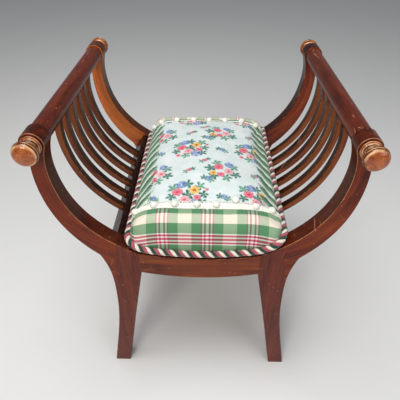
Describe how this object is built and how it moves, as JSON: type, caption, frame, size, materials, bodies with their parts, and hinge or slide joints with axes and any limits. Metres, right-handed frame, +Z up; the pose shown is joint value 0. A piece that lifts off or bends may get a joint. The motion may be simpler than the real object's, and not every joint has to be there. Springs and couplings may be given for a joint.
{
  "type": "scroll arm bench",
  "caption": "Small mahogany window bench on splayed legs, with curved slatted arms that end in turned hand rolls, and a domed floral and plaid cushion edged with twisted cord and ball fringe.",
  "frame": {"origin": "on the floor, in the middle between the legs", "axes": "X runs to the right along the front rail, Y from the front to the back along the hand rolls, Z up"},
  "size_m": [0.5894, 0.5532, 0.6777],
  "materials": {
    "mahogany": "satin",
    "block_wood": "matte",
    "dowel_beech": "matte",
    "screw_steel": "satin",
    "seat_plywood": "matte",
    "cushion_foam": "matte",
    "floral_cotton": "matte",
    "plaid_cotton": "matte",
    "cord_yarn": "matte",
    "fringe_tape": "matte",
    "pompom_yarn": "matte"
  },
  "bodies": {
    "root": {"arm_dowels": "dowel_beech", "back_braid": "fringe_tape", "back_left_arm": "mahogany", "back_left_corner_block": "block_wood", "back_left_knob": "mahogany", "back_left_leg": "mahogany", "back_panel": "plaid_cotton", "back_pompoms": "pompom_yarn", "back_rail": "mahogany", "back_right_arm": "mahogany", "back_right_corner_block": "block_wood", "back_right_knob": "mahogany", "back_right_leg": "mahogany", "front_braid": "fringe_tape", "front_left_arm": "mahogany", "front_left_corner_block": "block_wood", "front_left_knob": "mahogany", "front_left_leg": "mahogany", "front_panel": "plaid_cotton", "front_pompoms": "pompom_yarn", "front_rail": "mahogany", "front_right_arm": "mahogany", "front_right_corner_block": "block_wood", "front_right_knob": "mahogany", "front_right_leg": "mahogany", "left_hand_roll": "mahogany", "left_side_rail": "mahogany", "left_slat_1": "mahogany", "left_slat_2": "mahogany", "left_slat_3": "mahogany", "left_slat_4": "mahogany", "left_slat_5": "mahogany", "left_slat_6": "mahogany", "rail_dowels": "dowel_beech", "right_hand_roll": "mahogany", "right_side_rail": "mahogany", "right_slat_1": "mahogany", "right_slat_2": "mahogany", "right_slat_3": "mahogany", "right_slat_4": "mahogany", "right_slat_5": "mahogany", "right_slat_6": "mahogany", "seat_board": "seat_plywood", "seat_foam": "cushion_foam", "seat_screws": "screw_steel", "side_rail_dowels": "dowel_beech", "top_cover": "floral_cotton", "twisted_cord": "cord_yarn"}
  },
  "joints": []
}
